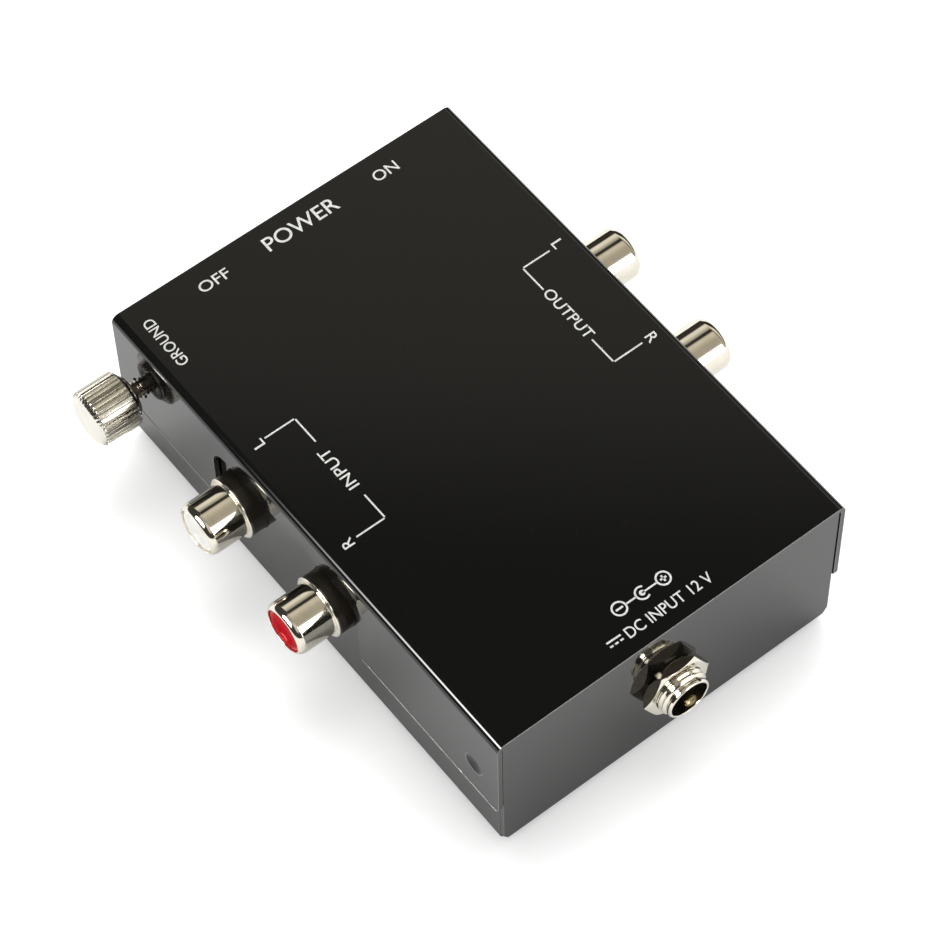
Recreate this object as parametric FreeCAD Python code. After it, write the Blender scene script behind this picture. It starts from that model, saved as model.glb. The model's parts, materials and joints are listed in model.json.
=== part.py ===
import FreeCAD, Part
import math
import os

# Phono preamp in a small folded-steel case. Millimetres, +Z up, origin at the
# centre of the case's flat underside. -Y is the end with the supply socket, +Y the
# end with the power switch, -X the side with the inputs and the ground screw, and
# +X the side with the outputs. The rubber feet reach below the origin.

V = FreeCAD.Vector
X_AXIS, Y_AXIS, Z_AXIS = V(1, 0, 0), V(0, 1, 0), V(0, 0, 1)

# Case: a tray with four walls, and a cover of one top and two side flanges
case_length = 87.8
case_width = 60.4
case_height = 28.6
sheet = 0.8
bend_radius = 1.2
cover_gap = 0.2
lid_gap = 0.1
panel_inset = 0.15
flange_height = 18.25
flange_corner = 0.8
panel_corner_width = 1.3
panel_corner_height = 2.2
corner_gap = 0.1

# Snap dimples in the flanges, and the ground screw that takes the place of one
fastener_z = 16.9
fastener_inset = 5.3
dimple_radius = 1.8
dimple_depth = 0.6
dimple_clearance = 0.15

# Feet
foot_radius = 4.0
foot_height = 1.2
foot_inset = 8.5
foot_edge = 0.4

# Circuit board on four clinched pillars
board_z = 6.9
board_thickness = 1.6
board_margin = 0.4
board_end_margin = 1.4
pillar_radius = 2.5
pillar_spigot = 2.0
pillar_inset_x = 9.0
pillar_inset_y = 9.0
screw_radius = 1.4
screw_head_radius = 2.7
screw_head_height = 1.8
screw_reach = 4.5
screw_socket = 0.9
hole_clearance = 0.1

# Phono jacks, two on each side
jack_spacing = 20.32
jack_mid_y = 3.7
jack_z = 17.4
boss_radius = 4.8
boss_lengths = {"input": 2.45, "output": 3.05}
ring_radius = 4.85
ring_thickness = 0.5
sleeve_radius = 4.15
sleeve_length = 6.1
sleeve_wall = 0.4
sleeve_edge = 0.65
lip_radius = 3.45
lip_length = 0.5
insulator_recess = 0.25
insulator_tail_radius = 3.3
funnel_radius = 2.7
funnel_depth = 0.9
contact_bore = 1.6
contact_wall = 0.35
contact_setback = 1.3
contact_length = 12.0
housing_depth = 8.2
housing_width = 10.6
housing_above = 5.4
housing_back = 1.2
fit_clearance = 0.05
leg_width = 1.2
leg_thickness = 0.4
leg_setback = 3.0

# Window in each flange that lets the cover lift past the jacks
window_margin = 6.55
window_rise = 6.2
window_corner = 3.6
window_mouth = 1.2

# Supply socket in the near end
socket_x = -0.3
socket_z = 14.4
socket_bore = 3.1
thread_radius = 3.9
thread_reach = 3.45
tip_radius = 3.5
tip_reach = 4.3
tip_groove = 0.2
collar_radius = 5.2
collar_thickness = 1.0
barrel_depth = 9.5
socket_nut_width = 10.0
socket_nut_thickness = 2.0
socket_nut_chamfer = 0.45
socket_nut_shoulder = 4.65
socket_nut_taper = 1.35
lock_washer_radius = 6.2
lock_washer_thickness = 0.5
lock_washer_teeth = 16
socket_body_wall = 1.3
socket_body_back = 1.6
pin_radius = 1.05
pin_recess = 1.7
pin_tail = 3.0
pin_tail_radius = 0.85
lug_width = 2.4
lug_thickness = 0.5
lug_length = 4.0

# Ground screw: knurled knob on an M3 screw, drawn 2.2 mm off the flange
knob_radius = 4.45
knob_length = 7.0
knob_standoff = 2.2
knob_teeth = 36
knob_tooth_depth = 0.28
knob_edge = 0.35
ground_screw_radius = 1.45
ground_screw_pitch = 0.5
ground_screw_length = 9.0
ground_screw_seat = 4.5
ground_hole_radius = 1.7
running_clearance = 0.05
clamp_washer_radius = 3.1
clamp_washer_thickness = 0.5
clinch_nut_radius = 3.0
clinch_nut_height = 2.4
solder_lug_radius = 3.2
solder_lug_thickness = 0.4
solder_lug_length = 8.0
solder_lug_width = 3.0

# Power switch on the board, its lever through the far end
switch_x = 0.0
switch_travel = 4.0
switch_height = 6.6
switch_depth = 5.0
switch_wall = 0.4
switch_base = 1.6
switch_gap = 0.12
lever_width = 3.8
lever_height = 3.2
lever_reach = 3.0
lever_slot_clearance = 0.3
carriage_length = 7.4
carriage_depth = 2.2
switch_pins = 3
switch_pin_pitch = 4.0
switch_pin_size = 0.7
bridge_thickness = 0.3
bridge_height = 2.4

# Electronics
part_gap = 1.0
chip_length = 9.4
chip_width = 6.4
chip_height = 3.3
chip_lift = 0.6
chip_pitch = 2.54
chip_row = 7.62
chip_lead = 0.45
small_can_radius = 2.5
small_can_height = 11.0
big_can_radius = 3.15
big_can_height = 12.0
film_length = 7.2
film_width = 2.6
film_height = 6.6
film_lift = 0.4
resistor_radius = 1.15
resistor_length = 6.2
resistor_lift = 0.3
resistor_rows = 3
resistor_pitch = 2.8
lead_radius = 0.3
lead_span = 10.16
regulator_width = 10.2
regulator_thickness = 4.4
regulator_height = 9.0
regulator_lift = 3.5
regulator_tab = 1.3
header_pitch = 2.54
header_pins = 3
header_depth = 5.8
header_height = 6.0
wire_radius = 0.65

# Places that follow from the sizes above
half_length = case_length / 2
half_width = case_width / 2
flange_z = case_height - flange_height
wall_x = half_width - sheet - cover_gap
wall_inner_x = wall_x - sheet
panel_y = half_length - panel_inset
panel_inner_y = panel_y - sheet
wall_top = case_height - sheet - lid_gap
fastener_y = half_length - fastener_inset
board_top = board_z + board_thickness
board_half_x = wall_inner_x - board_margin
board_half_y = panel_inner_y - board_end_margin
jack_ys = {"left": jack_mid_y + jack_spacing / 2, "right": jack_mid_y - jack_spacing / 2}
switch_z = board_top + switch_height / 2
knob_x = -half_width - knob_standoff


def box(x, y, z):
    """A block from three (low, high) pairs."""
    return Part.makeBox(x[1] - x[0], y[1] - y[0], z[1] - z[0], V(x[0], y[0], z[0]))


def rod(radius, start, end):
    return Part.makeCylinder(radius, (end - start).Length, start, end - start)


def joined(shapes):
    whole = shapes[0]
    if len(shapes) > 1:
        whole = whole.fuse(list(shapes[1:])).removeSplitter()
    return whole


def face_of(start, steps):
    """A flat face. A step is the next corner, or (middle, end) for an arc."""
    edges, here = [], start
    for step in list(steps) + [start]:
        if isinstance(step, tuple):
            edges.append(Part.Arc(here, step[0], step[1]).toShape())
            here = step[1]
        else:
            edges.append(Part.LineSegment(here, step).toShape())
            here = step
    return Part.Face(Part.Wire(edges))


def lathe(origin, direction, corners):
    """A turned piece: corners are (along, radius), along the direction from the origin.
    A corner of three values, (along, radius, "round"), is reached by a quarter arc."""
    points, here = [], None
    for corner in corners:
        there = V(corner[0], corner[1], 0)
        if len(corner) == 3:
            points.append((quarter_middle(here, there), there))
        else:
            points.append(there)
        here = there
    solid = face_of(points[0], points[1:]).revolve(V(0, 0, 0), X_AXIS, 360)
    solid.Placement = FreeCAD.Placement(origin, FreeCAD.Rotation(X_AXIS, direction))
    return solid


def quarter_middle(start, end):
    """Middle point of the convex quarter arc from a side to an end face of a lathe."""
    share = math.sin(math.radians(45))
    return V(start.x + (end.x - start.x) * share, end.y + (start.y - end.y) * share, 0)


def prism_along_x(start, steps, low, high):
    """A solid of a (y, z) outline, from x = low to x = high."""
    def at(point):
        return V(low, point[0], point[1])
    path = [(at(s[0]), at(s[1])) if isinstance(s[0], tuple) else at(s) for s in steps]
    return face_of(at(start), path).extrude(V(high - low, 0, 0))


def prism_along_y(start, steps, low, high):
    """A solid of an (x, z) outline, from y = low to y = high."""
    def at(point):
        return V(point[0], low, point[1])
    path = [(at(s[0]), at(s[1])) if isinstance(s[0], tuple) else at(s) for s in steps]
    return face_of(at(start), path).extrude(V(0, high - low, 0))


def arc_to(centre, radius, middle_degrees, end_degrees):
    """An arc step for an outline, about a centre in the outline's plane."""
    def on(degrees):
        turn = math.radians(degrees)
        return (centre[0] + radius * math.cos(turn), centre[1] + radius * math.sin(turn))
    return (on(middle_degrees), on(end_degrees))


def channel(half_span, low, high, thickness, radius):
    """Outline of a U channel, open upwards, that sheet is bent into."""
    inner = radius - thickness
    left, right = (-half_span + radius, low + radius), (half_span - radius, low + radius)
    start = (-half_span, high)
    steps = [(-half_span, left[1]), arc_to(left, radius, 225, 270),
             (right[0], low), arc_to(right, radius, 315, 360),
             (half_span, high), (half_span - thickness, high),
             (half_span - thickness, right[1]), arc_to(right, inner, 315, 270),
             (left[0], low + thickness), arc_to(left, inner, 225, 180),
             (-half_span + thickness, high)]
    return start, steps


def mirrored(shape):
    return shape.mirror(V(0, 0, 0), X_AXIS)


def wire_run(points, radius):
    """A tube along straight runs that are joined by tangent arcs."""
    edges, here = [], points[0]
    for before, corner, after in zip(points, points[1:], points[2:]):
        back, ahead = before - corner, after - corner
        half_turn = (math.pi - back.getAngle(ahead)) / 2
        reach = 0.45 * min(back.Length, ahead.Length)
        print("wire arc radius %.2f" % (reach / math.tan(half_turn)))
        back.normalize()
        ahead.normalize()
        enter, leave = corner + back * reach, corner + ahead * reach
        bisector = back + ahead
        bisector.normalize()
        arc_radius = reach / math.tan(half_turn)
        middle = corner + bisector * (arc_radius / math.cos(half_turn) - arc_radius)
        edges.append(Part.LineSegment(here, enter).toShape())
        edges.append(Part.Arc(enter, middle, leave).toShape())
        here = leave
    edges.append(Part.LineSegment(here, points[-1]).toShape())
    ring = Part.Wire(Part.makeCircle(radius, points[0], points[1] - points[0]))
    return Part.Wire(edges).makePipeShell([ring], True, False)


def top_cover():
    start, steps = channel(half_width, 0, flange_height, sheet, bend_radius)
    cover = prism_along_y(start, steps, -half_length, half_length)
    cover.rotate(V(0, 0, 0), Y_AXIS, 180)
    cover.translate(V(0, 0, case_height))
    for end in (-half_length, half_length):
        inward = flange_corner if end < 0 else -flange_corner
        corner = prism_along_x((end - inward, flange_z - 2 * flange_corner),
                               [(end + 2 * inward, flange_z - flange_corner),
                                (end - inward, flange_z + 2 * flange_corner)],
                               -half_width - sheet, half_width + sheet)
        cover = cover.cut(corner)
    cover = cover.cut(jack_window())
    for side in (-1, 1):
        for end in (-1, 1):
            if (side, end) == (-1, 1):
                cover = cover.cut(rod(ground_hole_radius, V(-half_width - sheet, fastener_y, fastener_z),
                                      V(-wall_inner_x, fastener_y, fastener_z)))
            else:
                cover = with_dimple(cover, side, end * fastener_y)
    return cover


def jack_window():
    low = jack_ys["right"] - window_margin
    high = jack_ys["left"] + window_margin
    top = jack_z + window_rise
    foot = flange_z + window_mouth
    steps = [(low - window_mouth, flange_z),
             arc_to((low - window_mouth, foot), window_mouth, 315, 360),
             (low, top - window_corner),
             arc_to((low + window_corner, top - window_corner), window_corner, 135, 90),
             (high - window_corner, top),
             arc_to((high - window_corner, top - window_corner), window_corner, 45, 0),
             (high, foot), arc_to((high + window_mouth, foot), window_mouth, 225, 270),
             (high + window_mouth, flange_z - window_mouth)]
    return prism_along_x((low - window_mouth, flange_z - window_mouth), steps,
                         -half_width - sheet, half_width + sheet)


def with_dimple(cover, side, y):
    """A round dimple pressed inwards: a hollow outside and a bump inside."""
    ball_radius = (dimple_radius ** 2 + dimple_depth ** 2) / (2 * dimple_depth)
    offset = ball_radius - dimple_depth
    outer_face, inner_face = half_width, half_width - sheet
    ball = Part.makeSphere(ball_radius, V(side * (inner_face + offset), y, fastener_z))
    keep = box(sorted((side * (inner_face - 2 * dimple_depth), side * (inner_face + sheet / 2))),
               (y - ball_radius, y + ball_radius),
               (fastener_z - ball_radius, fastener_z + ball_radius))
    hollow = Part.makeSphere(ball_radius, V(side * (outer_face + offset), y, fastener_z))
    return cover.fuse(ball.common(keep)).cut(hollow)


def base_tray():
    start, steps = channel(wall_x, 0, wall_top, sheet, bend_radius)
    side_walls = prism_along_y(start, steps, -panel_inner_y + corner_gap, panel_inner_y - corner_gap)
    start, steps = channel(panel_y, 0, wall_top, sheet, bend_radius)
    end_panels = prism_along_x(start, steps, -wall_x, wall_x)
    for side in (-1, 1):
        wide, low = side * panel_corner_width, panel_corner_height
        corner = [(side * wall_x - 2 * wide, -low), (side * wall_x + wide, 2 * low)]
        end_panels = end_panels.cut(prism_along_y((side * wall_x + wide, -low), corner,
                                                  -half_length, half_length))
    tray = joined([side_walls, end_panels])
    return tray.cut(tray_holes())


def tray_holes():
    holes = []
    for y in jack_ys.values():
        reach = V(wall_x + sheet, y, jack_z)
        holes.append(rod(boss_radius + hole_clearance, V(-reach.x, y, jack_z), reach))
    for side in (-1, 1):
        for end in (-1, 1):
            ground = (side, end) == (-1, 1)
            radius = ground_hole_radius if ground else dimple_radius + dimple_clearance
            centre = V(side * (wall_inner_x - sheet), end * fastener_y, fastener_z)
            holes.append(rod(radius, centre, centre + V(side * 3 * sheet, 0, 0)))
    near = V(socket_x, -panel_y - sheet, socket_z)
    holes.append(rod(thread_radius + hole_clearance, near, near + V(0, 3 * sheet, 0)))
    half_slot = (lever_width + switch_travel) / 2 + lever_slot_clearance
    half_tall = lever_height / 2 + lever_slot_clearance
    holes.append(box((switch_x - half_slot, switch_x + half_slot), (panel_inner_y - sheet, panel_y + sheet),
                     (switch_z - half_tall, switch_z + half_tall)))
    for x, y in pillar_places():
        holes.append(rod(pillar_spigot, V(x, y, -sheet), V(x, y, 2 * sheet)))
    return Part.makeCompound(holes)


def pillar_places():
    x, y = board_half_x - pillar_inset_x, board_half_y - pillar_inset_y
    return [(-x, -y), (x, -y), (x, y), (-x, y)]


def board_pillars():
    pillars = []
    for x, y in pillar_places():
        pillars.append(lathe(V(x, y, 0), Z_AXIS, [
            (0, 0), (0, pillar_spigot), (sheet, pillar_spigot), (sheet, pillar_radius),
            (board_z, pillar_radius), (board_z, screw_radius + fit_clearance),
            (board_top - screw_reach - screw_socket, screw_radius + fit_clearance),
            (board_top - screw_reach - screw_socket, 0)]))
    return Part.makeCompound(pillars)


def board_screws():
    screws = []
    for x, y in pillar_places():
        screw = lathe(V(x, y, board_top), Z_AXIS, [
            (-screw_reach, 0), (-screw_reach, screw_radius), (0, screw_radius),
            (0, screw_head_radius), (screw_head_height / 2, screw_head_radius),
            (screw_head_height, screw_head_radius / 2, "round"), (screw_head_height, 0)])
        for across, along in ((1, 4), (4, 1)):
            half_a, half_b = across * screw_socket / 4, along * screw_socket / 4
            screw = screw.cut(box((x - half_a, x + half_a), (y - half_b, y + half_b),
                                  (board_top + screw_head_height - screw_socket,
                                   board_top + 2 * screw_head_height)))
        screws.append(screw)
    return Part.makeCompound(screws)


def rubber_feet():
    x, y = wall_x - foot_inset, panel_y - foot_inset
    return Part.makeCompound([
        lathe(V(side * x, end * y, 0), V(0, 0, -1), [
            (0, 0), (0, foot_radius), (foot_height - foot_edge, foot_radius),
            (foot_height, foot_radius - foot_edge, "round"), (foot_height, 0)])
        for side in (-1, 1) for end in (-1, 1)])


def circuit_board():
    board = box((-board_half_x, board_half_x), (-board_half_y, board_half_y), (board_z, board_top))
    for x, y in pillar_places():
        board = board.cut(rod(screw_radius + hole_clearance, V(x, y, 0), V(x, y, case_height)))
    return board


def jack_housing(y, boss_length):
    """Black body of a jack on the +X side, with the round boss that passes the wall."""
    mouth = wall_x + boss_length
    body = box((wall_inner_x - housing_depth, wall_inner_x),
               (y - housing_width / 2, y + housing_width / 2),
               (board_top, jack_z + housing_above))
    boss = rod(boss_radius, V(wall_inner_x - housing_back, y, jack_z), V(mouth, y, jack_z))
    back = wall_inner_x - housing_depth
    bore = rod(insulator_tail_radius + fit_clearance,
               V(back + housing_back, y, jack_z), V(mouth + sheet, y, jack_z))
    tail = rod(leg_width / 2 + fit_clearance, V(back - sheet, y, jack_z), V(mouth, y, jack_z))
    return joined([body, boss]).cut([bore, tail] + shell_leg(y, boss_length, fit_clearance))


def shell_leg(y, boss_length, grow):
    """Strip from the ring through the housing and down to the board."""
    half = leg_width / 2 + grow
    top = jack_z - insulator_tail_radius - leg_thickness
    bottom = top - leg_thickness
    inner = wall_inner_x - leg_setback
    along = box((inner - grow, wall_x + boss_length + grow), (y - half, y + half),
                (bottom - grow, top + grow))
    down = box((inner - grow, inner + leg_thickness + grow), (y - half, y + half),
               (board_top, top))
    return [along, down]


def jack_shell(y, boss_length):
    """Nickel sleeve with its ring, and the strip that grounds it."""
    seat = wall_x + boss_length
    tip = ring_thickness + sleeve_length
    inside = sleeve_radius - sleeve_wall
    sleeve = lathe(V(seat, y, jack_z), X_AXIS, [
        (0, inside), (0, ring_radius), (ring_thickness, ring_radius),
        (ring_thickness, sleeve_radius), (tip - sleeve_edge, sleeve_radius),
        (tip, sleeve_radius - sleeve_edge, "round"), (tip, lip_radius),
        (tip - lip_length, lip_radius), (tip - lip_length, inside)])
    return joined([sleeve] + shell_leg(y, boss_length, 0))


def jack_insulator(y, boss_length):
    seat = wall_x + boss_length
    tip = ring_thickness + sleeve_length
    front = tip - insulator_recess
    back = wall_inner_x - housing_depth + housing_back - seat
    behind_lip = tip - lip_length - fit_clearance
    socket = contact_bore + contact_wall + fit_clearance
    mouth = contact_bore + fit_clearance
    contact_front = front - contact_setback
    return lathe(V(seat, y, jack_z), X_AXIS, [
        (back, socket), (back, insulator_tail_radius), (fit_clearance, insulator_tail_radius),
        (fit_clearance, sleeve_radius - sleeve_wall - fit_clearance),
        (behind_lip, sleeve_radius - sleeve_wall - fit_clearance),
        (behind_lip, lip_radius - fit_clearance), (front, lip_radius - fit_clearance),
        (front, funnel_radius), (front - funnel_depth, mouth), (contact_front, mouth),
        (contact_front, socket)])


def jack_contact(y, boss_length):
    """Sleeve that grips the plug's pin, with its tail to the board."""
    front = wall_x + boss_length + ring_thickness + sleeve_length - insulator_recess - contact_setback
    outer = contact_bore + contact_wall
    end = -contact_length
    sleeve = lathe(V(front, y, jack_z), X_AXIS, [
        (end, 0), (end, outer), (0, outer), (0, contact_bore),
        (end + contact_wall, contact_bore), (end + contact_wall, 0)])
    rear = wall_inner_x - housing_depth - 2 * leg_thickness
    tail = rod(leg_width / 2, V(rear, y, jack_z), V(front - contact_length + contact_wall, y, jack_z))
    down = box((rear - leg_thickness, rear), (y - leg_width / 2, y + leg_width / 2),
               (board_top, jack_z + leg_width / 2))
    return joined([sleeve, tail, down])


def socket_barrel():
    """Threaded barrel of the supply socket. Along is outwards from the panel's face."""
    seat = -sheet - lock_washer_thickness
    return lathe(V(socket_x, -panel_y, socket_z), V(0, -1, 0), [
        (seat - barrel_depth, socket_bore), (seat - barrel_depth, thread_radius),
        (seat - collar_thickness, thread_radius), (seat - collar_thickness, collar_radius),
        (seat, collar_radius), (seat, thread_radius), (thread_reach, thread_radius),
        (thread_reach, tip_radius - tip_groove), (thread_reach + tip_groove, tip_radius - tip_groove),
        (thread_reach + tip_groove, tip_radius), (tip_reach - tip_groove, tip_radius),
        (tip_reach, tip_radius - tip_groove, "round"), (tip_reach, socket_bore)])


def socket_body():
    """Insulating cup behind the collar that carries the pin and the lugs."""
    front = -sheet - lock_washer_thickness - collar_thickness
    floor = -sheet - lock_washer_thickness - barrel_depth
    back = floor - socket_body_back
    bore = thread_radius + fit_clearance
    cup = lathe(V(socket_x, -panel_y, socket_z), V(0, -1, 0), [
        (back, pin_tail_radius + fit_clearance), (back, bore + socket_body_wall),
        (front, bore + socket_body_wall), (front, bore), (floor, bore),
        (floor, pin_tail_radius + fit_clearance)])
    return cup.cut(lug_strip(fit_clearance))


def lug_strip(grow):
    """Strip of the sleeve lug: it starts against the barrel's end and leaves at the back."""
    floor = panel_y - sheet - lock_washer_thickness - barrel_depth
    z = socket_z - (socket_bore + thread_radius) / 2
    half = lug_width / 2 + grow
    return box((socket_x - half, socket_x + half),
               (-floor, -floor + socket_body_back + lug_length),
               (z - lug_thickness / 2 - grow, z + lug_thickness / 2 + grow))


def socket_pin():
    """Centre pin, which stands on the cup's floor, with a thinner tail and a flat lug."""
    floor = -sheet - lock_washer_thickness - barrel_depth
    back = floor - socket_body_back
    front = tip_reach - pin_recess
    pin = lathe(V(socket_x, -panel_y, socket_z), V(0, -1, 0), [
        (back - pin_tail, 0), (back - pin_tail, pin_tail_radius), (floor, pin_tail_radius),
        (floor, pin_radius), (front - pin_radius / 2, pin_radius),
        (front, pin_radius / 2, "round"), (front, 0)])
    tail = panel_y + back - pin_tail
    lug = box((socket_x - lug_width / 2, socket_x + lug_width / 2),
              (-tail - pin_radius, -tail - pin_radius + lug_length),
              (socket_z - lug_thickness / 2, socket_z + lug_thickness / 2))
    return joined([pin, lug])


def socket_nut():
    """Hexagon nut on the barrel, its corners turned off, most of all towards the panel."""
    corner = socket_nut_width / 2 / math.cos(math.radians(30))
    points = [V(corner * math.cos(math.radians(60 * k)), 0, corner * math.sin(math.radians(60 * k)))
              for k in range(6)]
    hexagon = face_of(points[0], points[1:]).extrude(V(0, -socket_nut_thickness, 0))
    hexagon.translate(V(socket_x, -panel_y, socket_z))
    flat = socket_nut_width / 2
    turned = lathe(V(socket_x, -panel_y, socket_z), V(0, -1, 0), [
        (0, thread_radius + fit_clearance), (0, socket_nut_shoulder), (socket_nut_taper, corner),
        (socket_nut_thickness - socket_nut_chamfer, corner), (socket_nut_thickness, flat),
        (socket_nut_thickness, thread_radius + fit_clearance)])
    return hexagon.common(turned)


def socket_lock_washer():
    """Toothed washer between the panel and the barrel's collar."""
    inner = thread_radius + fit_clearance
    washer = lathe(V(socket_x, -panel_inner_y, socket_z), Y_AXIS, [
        (0, inner), (0, lock_washer_radius), (lock_washer_thickness, lock_washer_radius),
        (lock_washer_thickness, inner)])
    tooth = (lock_washer_radius - collar_radius) * 0.9
    width = math.pi * lock_washer_radius / lock_washer_teeth
    notches = []
    for k in range(lock_washer_teeth):
        notch = box((lock_washer_radius - tooth, 2 * lock_washer_radius), (-sheet, sheet),
                    (-width / 2, width / 2))
        notch.rotate(V(0, 0, 0), Y_AXIS, 360 * k / lock_washer_teeth)
        notch.translate(V(socket_x, -panel_inner_y + lock_washer_thickness / 2, socket_z))
        notches.append(notch)
    return washer.cut(notches)


def socket_sleeve_lug():
    return lug_strip(0)


def ground_knob():
    """Knurled knob with plain ends a little narrower, and a bore for the screw."""
    points = []
    for k in range(2 * knob_teeth):
        radius = knob_radius - (k % 2) * knob_tooth_depth
        turn = math.radians(180 * k / knob_teeth)
        points.append(V(0, radius * math.cos(turn), radius * math.sin(turn)))
    knurled = face_of(points[0], points[1:]).extrude(V(2 * knob_edge - knob_length, 0, 0))
    knurled.translate(V(knob_x - knob_edge, fastener_y, fastener_z))
    core_radius = knob_radius - knob_tooth_depth - knob_edge / 5
    core = lathe(V(knob_x, fastener_y, fastener_z), V(-1, 0, 0), [
        (0, 0), (0, core_radius - knob_edge), (knob_edge, core_radius),
        (knob_length - knob_edge, core_radius),
        (knob_length, core_radius - knob_edge, "round"), (knob_length, 0)])
    bore = rod(ground_screw_radius, V(knob_x + knob_edge, fastener_y, fastener_z),
               V(knob_x - ground_screw_seat, fastener_y, fastener_z))
    return joined([knurled, core]).cut(bore)


def ground_screw():
    edge = ground_screw_pitch / 2
    return lathe(V(knob_x - ground_screw_seat, fastener_y, fastener_z), X_AXIS, [
        (0, 0), (0, ground_screw_radius),
        (ground_screw_seat + ground_screw_length - edge, ground_screw_radius),
        (ground_screw_seat + ground_screw_length, ground_screw_radius - edge),
        (ground_screw_seat + ground_screw_length, 0)])


def ring_on_ground_axis(x, radius, inner, thickness):
    return lathe(V(x, fastener_y, fastener_z), X_AXIS, [
        (0, inner), (0, radius), (thickness, radius), (thickness, inner)])


def clamp_washer():
    return ring_on_ground_axis(knob_x, clamp_washer_radius, ground_screw_radius + running_clearance,
                               clamp_washer_thickness)


def solder_lug():
    """Ring under the clinch nut, with the tongue that the wire is soldered to."""
    ring = ring_on_ground_axis(-wall_inner_x, solder_lug_radius,
                               ground_screw_radius + running_clearance, solder_lug_thickness)
    tongue = box((-wall_inner_x, -wall_inner_x + solder_lug_thickness),
                 (fastener_y - solder_lug_length, fastener_y - clinch_nut_radius),
                 (fastener_z - solder_lug_width / 2, fastener_z + solder_lug_width / 2))
    return joined([ring, tongue])


def clinch_nut():
    """Round nut fixed to the wall's inside, that the ground screw turns in."""
    return ring_on_ground_axis(-wall_inner_x + solder_lug_thickness, clinch_nut_radius,
                               ground_screw_radius + running_clearance, clinch_nut_height)


def switch_span():
    """Half the inside length of the switch, where its carriage slides."""
    return (carriage_length + switch_travel) / 2 + switch_gap


def switch_frame():
    """Steel frame against the panel, open at the back, with the lever's window."""
    half = switch_span() + switch_wall
    low, high = board_top, board_top + switch_height
    front = panel_inner_y
    back = front - switch_depth
    shell = box((switch_x - half, switch_x + half), (back, front), (low, high))
    room = box((switch_x - switch_span(), switch_x + switch_span()), (back - sheet, front - switch_wall),
               (low + switch_wall, high - switch_wall))
    half_window = (lever_width + switch_travel) / 2 + switch_gap
    half_tall = lever_height / 2 + switch_gap
    window = box((switch_x - half_window, switch_x + half_window), (back, front + sheet),
                 (switch_z - half_tall, switch_z + half_tall))
    return shell.cut([room, window])


def switch_base_plate():
    face = panel_inner_y - switch_depth + switch_wall
    plate = box((switch_x - switch_span(), switch_x + switch_span()), (face - switch_base, face),
                (board_top + switch_wall, board_top + switch_height - switch_wall))
    return plate.cut(switch_terminals())


def carriage_x():
    return switch_x - switch_travel / 2


def switch_carriage():
    """Sliding block and lever, at rest at the OFF end."""
    x = carriage_x()
    front = panel_inner_y - switch_wall - switch_gap
    tall = switch_height / 2 - switch_wall - switch_gap
    block = box((x - carriage_length / 2, x + carriage_length / 2), (front - carriage_depth, front),
                (switch_z - tall, switch_z + tall))
    lever = box((x - lever_width / 2, x + lever_width / 2), (front - carriage_depth / 2, panel_y + lever_reach),
                (switch_z - lever_height / 2, switch_z + lever_height / 2))
    return joined([block, lever])


def switch_bridge():
    """Spring clip on the back of the carriage that joins two of the pins."""
    x = carriage_x()
    front = panel_inner_y - switch_wall - switch_gap - carriage_depth
    reach = switch_pin_pitch / 2 + switch_pin_size
    strip = box((x - reach, x + reach), (front - bridge_thickness, front),
                (switch_z - bridge_height / 2, switch_z + bridge_height / 2))
    back = panel_inner_y - switch_depth + switch_wall + switch_gap + bridge_thickness
    pads = [box((x + side * switch_pin_pitch / 2 - switch_pin_size / 2,
                 x + side * switch_pin_pitch / 2 + switch_pin_size / 2),
                (back, front - bridge_thickness), (switch_z - switch_pin_size, switch_z + switch_pin_size))
            for side in (-1, 1)]
    return joined([strip] + pads)


def switch_rear():
    """How far back the switch's terminals come."""
    return panel_inner_y - switch_depth + switch_wall - switch_base - 1.5 * switch_pin_size


def switch_terminals():
    """Three pins through the base, bent down to the board."""
    face = panel_inner_y - switch_depth + switch_wall
    half = switch_pin_size / 2
    rear = switch_rear() + half
    pins = []
    for k in range(switch_pins):
        x = switch_x + (k - (switch_pins - 1) / 2) * switch_pin_pitch
        pad = box((x - switch_pin_size, x + switch_pin_size), (face, face + bridge_thickness),
                  (switch_z - switch_pin_size, switch_z + switch_pin_size))
        along = box((x - half, x + half), (rear - half, face), (switch_z - half, switch_z + half))
        down = box((x - half, x + half), (rear - half, rear + half), (board_top, switch_z + half))
        pins.append(joined([pad, along, down]))
    return pins


def chip_places():
    return [(0, jack_ys["left"]), (0, jack_ys["right"])]


def op_amps():
    return Part.makeCompound([
        box((x - chip_width / 2, x + chip_width / 2), (y - chip_length / 2, y + chip_length / 2),
            (board_top + chip_lift, board_top + chip_lift + chip_height)) for x, y in chip_places()])


def op_amp_leads():
    """Eight bent leads on each chip, from the middle of its side to the board."""
    leads, half = [], chip_lead / 2
    middle = board_top + chip_lift + chip_height / 2
    for x, y in chip_places():
        for side in (-1, 1):
            for k in range(4):
                at = y + (k - 1.5) * chip_pitch
                out = box(sorted((x + side * chip_width / 2, x + side * (chip_row / 2 + half))),
                          (at - half, at + half), (middle - half, middle + half))
                down = box(sorted((x + side * (chip_row / 2 - half), x + side * (chip_row / 2 + half))),
                           (at - half, at + half), (board_top, middle))
                leads.append(joined([out, down]))
    return Part.makeCompound(leads)


def can(x, y, radius, height):
    """Electrolytic capacitor with the rolled groove near its foot."""
    groove, at = radius * 0.08, height * 0.12
    return lathe(V(x, y, board_top), Z_AXIS, [
        (0, 0), (0, radius), (at, radius), (at + groove, radius - groove),
        (at + 2 * groove, radius), (height - groove, radius),
        (height, radius - groove, "round"), (height, 0)])


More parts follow.
